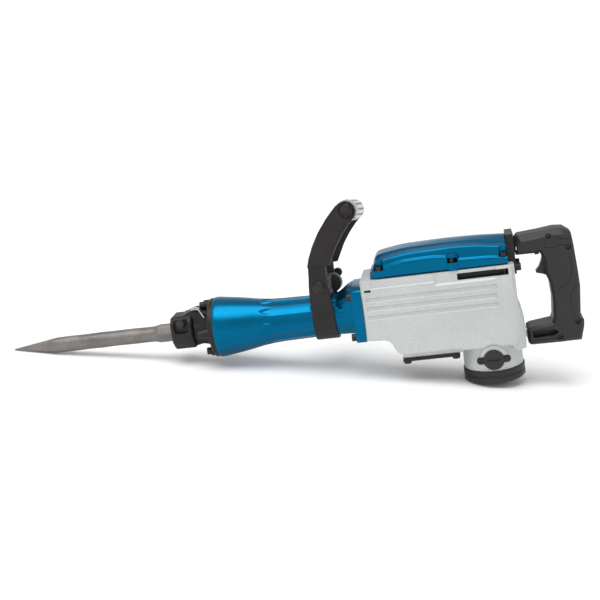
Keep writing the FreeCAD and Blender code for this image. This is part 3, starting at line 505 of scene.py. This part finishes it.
def make_housing():
    """The silver housing, its motor neck, side ribs, vents and seats of the brush caps."""
    flare = [(-119, 50.6), (-88, 50.6), (-83, 51.2), (-79, 52.4), (-75, 54), (-60, 54)]
    body = carved(prism(HOUSING_SIDE, -HALF_WIDTH, HALF_WIDTH),
                  [prism(HOUSING_PLAN, -100, COVER_SEAT, "Z")], "INTERSECT")
    pad = prism([(-151, -68), (-48, -68), (-48, -82), (-151, -82)], -44, 44, "Y", 2, 2)
    body = cast([body, pad, lathe(flare, "Z", 120)], 1.6, 5)
    niches = [prism(brush_arch(27.5), side * 50.4, side * BEYOND) for side in (-1, 1)]
    rims = [prism(brush_arch(23.5), side * 30, side * 52, "Y", 1.4, 2,
                  lambda edge: min(abs(vertex.co.y) for vertex in edge.verts) > 51)
            for side in (-1, 1)]
    body = carved(carved(body, niches), rims, "UNION")
    cutters = []
    for side in (-1, 1):
        face, out = side * HALF_WIDTH, side * BEYOND
        grooves = zip([high for high, low in RIBS], [32.5] + [low for high, low in RIBS])
        cutters += [side_recess(-201, 18, low, high, RIB_DEPTH, side)
                    for low, high in grooves]
        ledge = [(out, LEDGE_HEIGHT - 4), (face, LEDGE_HEIGHT), (side * 51, 43.6),
                 (side * 51, 70), (out, 70)]
        cutters.append(prism(ledge, -83, 19, "X"))
        step = [(out, 47), (face, 47), (side * 52.8, 48.2), (side * 52.8, 70), (out, 70)]
        cutters.append(prism(step, -190, -82, "X"))
        cutters += [prism(rectangle(x0, x1, z0, z1), face - side * depth, face + side * 4)
                    for x0, x1, z0, z1, depth in (SLOT, SMALL_SLOT, REAR_SEAM)]
        cutters.append(prism([(60, -37), (53.5, -37), (47, -60), (38, -78), (33, -86), (33, -95),
                              (60, -95)], side * 48.6, out))
    return carved(body, cutters)


def make_painted_vent_shade():
    """Dark walls just inside the long side slots and the small ones ahead of them: painted shade standing for the
    depth of the open slots.
    """
    shade_walls = []
    for side in (-1, 1):
        for x0, x1, z0, z1, depth in (SLOT, SMALL_SLOT):
            rim, core = rectangle(x0, x1, z0, z1), rectangle(x0, x1, z0, z1, 0.5)
            shell = prism(rim, side * 50.4, side * (54.2 - depth))
            shade_walls.append(carved(shell, [prism(core, side * BEYOND, side * (54.8 - depth))]))
    return joined(shade_walls)


new_piece("housing_casting", make_housing(), "hammer_body", "cast_silver", smooth=32)
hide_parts("gear_housing")
# The black walls in the vent slots are painted shade, not a part of the hammer.
new_piece("painted_vent_shade", make_painted_vent_shade(), "hammer_body", "black_plastic", smooth=20)


# ---------------------------------------------------------------- side handle

GRIP = (-214, 0, 176)            # centre of the grip, in the leaned frame
GRIP_RADIUS, CORE_RADIUS = 18.2, 16.8
CLAMP = (-277, 0, 52)            # axis of the clamp bolt
STRAP_INNER, STRAP_THICKNESS = 37.2, 5
# (height, x) of the strap's front and rear edges
STRAP_FRONT = [(-42, -298), (11, -297.5), (35, -296), (60, -293.5), (88.7, -291)]
STRAP_REAR = [(-42, -258), (11, -259), (35, -260.5), (60, -262), (88.7, -262.5)]
ARM_SIDE = [(-292, 88.5), (-287.5, 104), (-279, 123.5), (-267, 144.5), (-251.5, 165),
            (-241, 176.5), (-232, 185.5), (-225, 190.3), (-216, 192.6), (-207.5, 189.5),
            (-201.5, 182.5), (-199.5, 174), (-201.5, 165.5), (-207, 159), (-214.5, 151.5),
            (-226, 138), (-238.5, 119.5), (-248, 101), (-254.5, 87.5)]


def make_strap():
    """A flat band bent round the barrel, narrowing towards its two upper ends."""
    inner, thick = STRAP_INNER, STRAP_THICKNESS
    path = [(-66.3, 88.7), (-65, 74), (-63.3, 60), (-61, 49), (-57.5, 40), (-53, 31.5),
            (-47.5, 23), (-42.6, 13.5)]
    turn = [(-(inner + thick / 2) * math.cos(a), -(inner + thick / 2) * math.sin(a))
            for a in (math.radians(-8 + 196 * i / 52) for i in range(53))]
    path = path + turn + [(-y, z) for y, z in path[::-1]]
    rings = []
    for i, (y, z) in enumerate(path):
        before, after = path[max(i - 1, 0)], path[min(i + 1, len(path) - 1)]
        along = Vector((after[0] - before[0], after[1] - before[1])).normalized()
        out = Vector((along.y, -along.x))
        if out.y * z + out.x * y < 0:
            out = -out
        front, rear = interpolate(STRAP_FRONT, z), interpolate(STRAP_REAR, z)
        half, soft = thick / 2, 0.9
        section = [(front + soft, -half), (front, -half + soft), (front, half - soft),
                   (front + soft, half), (rear - soft, half), (rear, half - soft),
                   (rear, -half + soft), (rear - soft, -half)]
        rings.append([(x, y + d * out.x, z + d * out.y) for x, d in section])
    return loft(rings)


def make_arm(side):
    """One curved arm of the side handle with the web that carries it on the strap."""
    plate = prism(ARM_SIDE, side * 61.5, side * 72, "Y", 1.3, 3)
    bore = lathe([(side * 69.4, 13.6), (side * 76, 13.6)], "Y", 48, GRIP)
    plate = carved(plate, [bore])
    web = prism([(-291, 42), (-291, 100), (-281, 116), (-266, 112), (-262, 94), (-262, 42)],
                side * 49.5, side * 57, "Y", 1.2, 2)
    shoulder = prism([(-289, 92), (-281, 112), (-268, 112), (-262, 92)], side * 52, side * 66,
                     "Y", 1, 2)
    return joined([plate, web, shoulder])


def make_grip():
    """An alloy sleeve with four rows of long slots, through which the dark core shows."""
    radius, centre = GRIP_RADIUS, GRIP
    sleeve = lathe([(-61, 16.7), (-61, radius), (-59.5, radius + 0.4), (-57, radius + 0.4),
                    (-56, radius - 0.5), (-54.5, radius), (54.5, radius), (56, radius - 0.5),
                    (57, radius + 0.4), (59.5, radius + 0.4), (61, radius), (61, 16.7)],
                   "Y", 72, centre)
    slots = []
    for row in range(4):
        for step in range(12):
            slot = prism([(-1.9, -10.5), (1.9, -10.5), (1.9, 10.5), (-1.9, 10.5)],
                         radius - 1.9, radius + 2, "Z")
            middle = Vector(centre) + Vector((0, -40.5 + 27 * row, 0))
            slot.transform(Matrix.Translation(middle)
                           @ Matrix.Rotation(2 * math.pi * step / 12, 4, "Y"))
            slots.append(slot)
    return carved(sleeve, [joined(slots)])


def hexagonal_head(across, height, centre, axis):
    """A hexagon head with its corners turned off on the outer face."""
    points = [(across / math.sqrt(3) * math.cos(math.radians(60 * i + 20)),
               across / math.sqrt(3) * math.sin(math.radians(60 * i + 20))) for i in range(6)]
    sign = 1 if axis > 0 else -1
    mesh = prism([(x + centre[0], z + centre[2]) for x, z in points], centre[1],
                 centre[1] + sign * height, "Y", 0.8, 2)
    dome = lathe([(centre[1] - sign * 1, across * 0.62), (centre[1] + sign * height * 0.7,
                                                          across * 0.58),
                  (centre[1] + sign * (height + 0.4), across * 0.44)], "Y", 48,
                 (centre[0], 0, centre[2]))
    return carved(mesh, [dome], "INTERSECT")


def make_clamp_tab():
    """The round bolt head and the drop-shaped locking tab under it, on the near side."""
    x, z = CLAMP[0], CLAMP[2]
    head = lathe([(-66.2, 9.2), (-68, 9.4), (-70.5, 9.0), (-71.6, 7.4), (-71.8, 0.3)], "Y", 48,
                 (x, 0, z))
    ring = lathe([(-65.5, 11), (-67, 11), (-67.6, 10.2), (-67.6, 8)], "Y", 48, (x, 0, z))
    drop = ([(x - 4.2, z - 3), (x + 4.2, z - 3)] + arc_points((x + 1, z - 13), 3.3, 20, -200, 12))
    tab = prism(drop, -66.5, -70.2, "Y", 0.7, 2)
    return joined([head, ring, tab])


def make_saddle():
    """The block between the strap ends, and the round clamp boss on its far side."""
    arc = arc_points((0, 0), 39.2, 35, 145, 24)
    outline = [(33, 22.5)] + arc + [(-33, 22.5), (-34, 60), (-28, 68), (28, 68), (34, 60)]
    boss = lathe([(24, 15.5), (26, 17.5), (52, 17.5), (54, 15.5)], "Y", 64, (-266, 0, 52.5))
    return joined([prism(outline, -292, -263, "X", 3.5, 3), boss])


new_piece("strap_band", make_strap(), "side_handle", "black_paint", LEANED, smooth=30)
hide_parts("strap")
for label, side in (("near", -1), ("far", 1)):
    new_piece("side_arm_cover_" + label, make_arm(side), "side_handle", "black_paint", LEANED)
    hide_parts("side_arm_" + label)
new_piece("grip_sleeve", make_grip(), "side_handle", "knurled_alloy", LEANED)
new_piece("grip_core", lathe([(-60, CORE_RADIUS), (60, CORE_RADIUS)], "Y", 48, GRIP),
          "side_handle", "black_steel", LEANED)
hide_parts("side_grip")
new_piece("grip_bolt_heads",
          joined([hexagonal_head(20, 7, (GRIP[0], side * 69.3, GRIP[2]), side) for side in (-1, 1)]),
          "side_handle", "black_steel", LEANED)
new_piece("clamp_tab", make_clamp_tab(), "side_handle", "black_steel", LEANED)
new_piece("clamp_saddle", make_saddle(), "side_handle", "black_plastic", LEANED)
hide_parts("saddle")


# ---------------------------------------------------------------- rear handle

HANDLE_SIDE = [(55.3, 70.5), (55.3, 96), (61, 102.5), (95, 105), (121, 108), (137, 106.5),
               (148.5, 98), (150.5, 80), (153.5, 42), (155.5, 8), (152.5, -37), (151.5, -48),
               (157, -53), (156, -64), (150, -87), (116, -87.5), (66, -87), (61.5, -83),
               (61.5, -60), (66, -56.5), (104, -51.5), (107, -44), (109, -13), (106.5, 19),
               (101.5, 30), (100, 58), (95, 70)]
PANEL_LINES = [[(103.5, 98), (103.5, 78), (122, 76.5), (128, 80), (149, 78.5)],
               [(119, 107), (121, 96), (126, 90.5), (149, 89)],
               [(142, 60), (145, 36), (138, 17), (115, 1), (110, -6)],
               [(153.5, 12), (141, 0), (137.5, -13), (139.5, -41), (143, -49)],
               [(66, -79.5), (108, -79), (122, -84), (140, -84)]]


HANDLE_SCREWS = ((111, 97), (141.5, 75), (146, -54), (115, -77))
HANDLE_HALF_WIDTH = 26


def ribbon(points, width):
    """A closed band of even width along a line."""
    sides = []
    for sign in (1, -1):
        edge = []
        for i, point in enumerate(points):
            before, after = points[max(i - 1, 0)], points[min(i + 1, len(points) - 1)]
            along = Vector((after[0] - before[0], after[1] - before[1])).normalized()
            edge.append((point[0] - sign * along.y * width / 2,
                         point[1] + sign * along.x * width / 2))
        sides.append(edge)
    return sides[0] + sides[1][::-1]


def make_handle_half(side):
    """One shell of the rear handle, with its panel lines, lower slot and screw holes."""
    def outer_edge(edge):
        return (abs(edge.verts[0].co.y - edge.verts[1].co.y) < 0.1
                and abs(edge.verts[0].co.y) > 20)

    def upper_edge(edge):
        return outer_edge(edge) and min(vertex.co.z for vertex in edge.verts) > 95

    face = side * HANDLE_HALF_WIDTH
    half = prism(HANDLE_SIDE, side * 0.15, face, "Y", 4.5, 1, outer_edge)
    upper = prism(HANDLE_SIDE, side * 0.15, face, "Y", 10.5, 1, upper_edge)
    half = carved(half, [upper], "INTERSECT")
    cutters = [prism(ribbon(line, 1.3), face - side * 0.9, face + side * 3)
               for line in PANEL_LINES]
    cutters.append(prism([(70, -75), (104, -74), (112, -70), (112, -66), (104, -62.5),
                          (70, -62)], face - side * 14, face + side * 3))
    cutters += [lathe([(face - side * 4.5, 4.6), (face + side * 3, 4.6)], "Y", 32, (x, 0, z))
                for x, z in HANDLE_SCREWS]
    return carved(half, cutters)


def make_handle_sockets(side):
    """Dark recessed screw heads with a hexagon hole."""
    heads = []
    for x, z in HANDLE_SCREWS:
        y = side * 22.5
        head = lathe([(side * 20, 4.4), (y - side * 0.6, 4.4), (y, 3.6), (y, 0.2)], "Y", 32,
                     (x, 0, z))
        bore = prism([(x + 1.9 * math.cos(a), z + 1.9 * math.sin(a))
                      for a in (math.radians(60 * i) for i in range(6))],
                     y - side * 2, y + side * 2)
        heads.append(carved(head, [bore]))
    return joined(heads)


def make_trigger():
    """The trigger blade with the hook at its lower end."""
    outline = [(99, 61), (96.5, 52), (92, 42), (86, 36), (87, 33), (97, 30.5), (104, 27),
               (106, 31), (105, 61)]
    return prism(outline, -9, 9, "Y", 2.2, 4)


for label, side in (("near", -1), ("far", 1)):
    new_piece("handle_half_" + label, make_handle_half(side), "rear_handle", "black_plastic",
              smooth=25)
    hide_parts("handle_shell_" + label)
new_piece("handle_sockets",
          joined([make_handle_sockets(side) for side in (-1, 1)]), "rear_handle", "black_steel")
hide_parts("handle_screws")
new_piece("trigger_blade", make_trigger(), "trigger", "trigger_plastic")
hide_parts("trigger")


# ---------------------------------------------------------------- nose and chisel

STOP_PIN = (-532, 18.8)          # x and z of the axis the stop pin turns about
SHANK_END, NECK_END, POINT_START, TIP = -578, -590, -770, -855
SHAFT_RADIUS, SHANK_RADIUS, TIP_RADIUS = 13.9, 16.9, 1.2
CHISEL_STEPS = 48


def make_nose():
    """The forged nose block, its neck, and the ribs that run back to the flange."""
    section = [(-32, -14), (-32, 20), (-21, 31), (21, 31), (32, 20), (32, -14), (18, -29),
               (-18, -29)]
    block_mesh = prism(section, -552, -512, "X", 3.2, 1)
    neck = lathe([(-513, 25), (-505, 24.5), (-495, 25), (-486, 27), (-479, 30)], "X", 72)
    wedge = prism([(-545, 22), (-521, 36), (-507, 40), (-494, 36), (-479, 33), (-479, 8),
                   (-545, 8)], -20, 20, "Y", 4, 2)
    foot = prism([(-514, -27), (-500, -24), (-479, -30), (-479, -8), (-514, -8)], -15, 15, "Y",
                 3, 2)
    body = cast([block_mesh, neck, wedge, foot], 1.1, 3)
    window = [(-545, 6), (-541, 2.5), (-524, 2.5), (-519.5, 6), (-519.5, 27), (-525, 31),
              (-539, 31), (-545, 27)]
    pocket = [prism(window, side * 25.5, side * 40) for side in (-1, 1)]
    bore = prism([(17.45 * math.cos(math.radians(60 * i + 30)),
                   17.45 * math.sin(math.radians(60 * i + 30))) for i in range(6)],
                 -560, -470, "X")
    return carved(body, pocket + [bore])


def make_nose_clip():
    """A bright spring clip bent over the top of the nose ahead of the upper flange bolt."""
    line = [(-511, 41.5), (-503, 42.5), (-497, 40.5), (-493, 33), (-489, 25)]
    return prism(ribbon(line, 2.6), -27, -14, "Y", 0.7, 2)


def make_stop_heads():
    """The hexagon ends of the stop pin in the pockets of the nose."""
    return joined([hexagonal_head(14.6, 10.5, (STOP_PIN[0], side * 25.4, STOP_PIN[1]), side)
                   for side in (-1, 1)])


def chisel_section(x):
    """One ring of the chisel: hexagon shank, round neck and shaft, then the square point."""
    ring = []
    for i in range(CHISEL_STEPS):
        a = 2 * math.pi * i / CHISEL_STEPS
        hexagon = 15 / math.cos((a - math.pi / 2 + math.pi / 6) % (math.pi / 3) - math.pi / 6)
        round_part = SHAFT_RADIUS + 0.22 * math.sin(3 * a + x / 31) + 0.16 * math.sin(x / 9 + 2 * a)
        shank = min(hexagon, SHANK_RADIUS)
        if x > SHANK_END:
            radius = shank
        elif x > NECK_END:
            radius = shank + (round_part - shank) * ease((SHANK_END - x) / 12)
        elif x > POINT_START:
            radius = round_part
        else:
            t = (POINT_START - x) / 85
            taper = SHAFT_RADIUS * (1 - t) + TIP_RADIUS * t
            flat = 1 / max(abs(math.cos(a)), abs(math.sin(a)))
            square = taper * min(flat, 1.16) * 0.93
            radius = round_part + (square - round_part) * ease(t / 0.1) if t < 0.1 else square
        ring.append((x, radius * math.cos(a), radius * math.sin(a)))
    return ring


def make_chisel():
    """The chisel, with rings close together where its section changes."""
    stations = [-421 - 4 * i for i in range(39)] + [SHANK_END - 2 * i for i in range(7)]
    stations += [-594 - 4 * i for i in range(44)]
    stations += [POINT_START - 3 * i for i in range(29)] + [TIP]
    return loft([chisel_section(x) for x in stations])


new_piece("nose_block", make_nose(), "hammer_body", "black_paint", smooth=30)
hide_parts("tool_retainer")
new_piece("nose_clip", make_nose_clip(), "hammer_body", "bright_steel")
new_piece("stop_pin_heads", make_stop_heads(), "stop_lever", "black_steel")
new_piece("forged_chisel", make_chisel(), "chisel", "forged_steel", smooth=24)
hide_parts("chisel")


# ---------------------------------------------------------------- floor, light and camera

def look_along(direction, roll=0.0):
    """The rotation of a camera or lamp that looks along a direction."""
    rotation = Vector(direction).to_track_quat("-Z", "Y").to_matrix().to_4x4()
    return rotation @ Matrix.Rotation(roll, 4, "Z")


def lamp(name, place, target, size, power):
    """A rectangular lamp at a place, aimed at a target."""
    data = bpy.data.lights.new(name, "AREA")
    data.shape = "RECTANGLE"
    data.size, data.size_y = size
    data.energy = power
    item = bpy.data.objects.new(name, data)
    bpy.context.scene.collection.objects.link(item)
    item.matrix_world = (Matrix.Translation(place)
                         @ look_along(Vector(target) - Vector(place)))


floor_material = bpy.data.materials.new("floor")
floor_material.use_nodes = True
floor_shader = floor_material.node_tree.nodes["Principled BSDF"]
floor_tree = floor_material.node_tree
floor_where = floor_tree.nodes.new("ShaderNodeTexCoord").outputs["Object"]
floor_tone = ramp(floor_tree, noise(floor_tree, floor_where, 1.5),
                  ((0.3, (0.9, 0.9, 0.905)), (0.7, (0.93, 0.93, 0.935))))
links(floor_tree, (floor_tone, floor_shader.inputs["Base Color"]))
floor_shader.inputs["Roughness"].default_value = 0.7
floor_shader.inputs["Specular IOR Level"].default_value = 0.2

floor_mesh = bpy.data.meshes.new("floor")
FLOOR_RADIUS, FLOOR_STEPS = 9.0, 96
ring_points = [(FLOOR_RADIUS * math.cos(2 * math.pi * i / FLOOR_STEPS),
                FLOOR_RADIUS * math.sin(2 * math.pi * i / FLOOR_STEPS), 0)
               for i in range(FLOOR_STEPS)]
floor_mesh.from_pydata(ring_points, [], [list(range(FLOOR_STEPS))])
floor = bpy.data.objects.new("floor", floor_mesh)
bpy.context.scene.collection.objects.link(floor)
floor.data.materials.append(floor_material)

world = bpy.data.worlds.new("studio")
world.use_nodes = True
sky_tree = world.node_tree
sky_split = sky_tree.nodes.new("ShaderNodeSeparateXYZ")
links(sky_tree, (sky_tree.nodes.new("ShaderNodeTexCoord").outputs["Generated"],
                 sky_split.inputs["Vector"]))
sky_tone = ramp(sky_tree, sky_split.outputs["Z"], ((0.0, 1.0), (0.2, 0.95), (0.8, 0.58)))
links(sky_tree, (sky_tone, sky_tree.nodes["Background"].inputs["Color"]))
sky_tree.nodes["Background"].inputs["Strength"].default_value = 1.0
bpy.context.scene.world = world

sun_data = bpy.data.lights.new("overhead", "SUN")
sun_data.energy = 1.75
sun_data.angle = math.radians(42)
sun = bpy.data.objects.new("overhead", sun_data)
bpy.context.scene.collection.objects.link(sun)
sun.matrix_world = look_along(Vector((0.1, 0.25, -1)))
lamp("key", (-0.5, -1.2, 1.6), (0, 0, 0.1), (1.2, 0.5), 6)

AZIMUTH, ELEVATION, ROLL = (math.radians(a) for a in (6.621, 13.576, 1.524))
DISTANCE, FOCAL_LENGTH = 1.9767, 67.80
target = TOOL @ Vector((-320.6, 0, 31.45))
direction = Vector((-math.sin(AZIMUTH) * math.cos(ELEVATION),
                    math.cos(AZIMUTH) * math.cos(ELEVATION), -math.sin(ELEVATION)))
camera_data = bpy.data.cameras.new("camera")
camera_data.lens = FOCAL_LENGTH
camera_data.sensor_width = 36
camera_data.clip_end = 50
camera = bpy.data.objects.new("camera", camera_data)
bpy.context.scene.collection.objects.link(camera)
camera.matrix_world = (Matrix.Translation(target - DISTANCE * direction)
                       @ look_along(direction, ROLL))
bpy.context.scene.camera = camera
bpy.context.scene.view_settings.view_transform = "Standard"
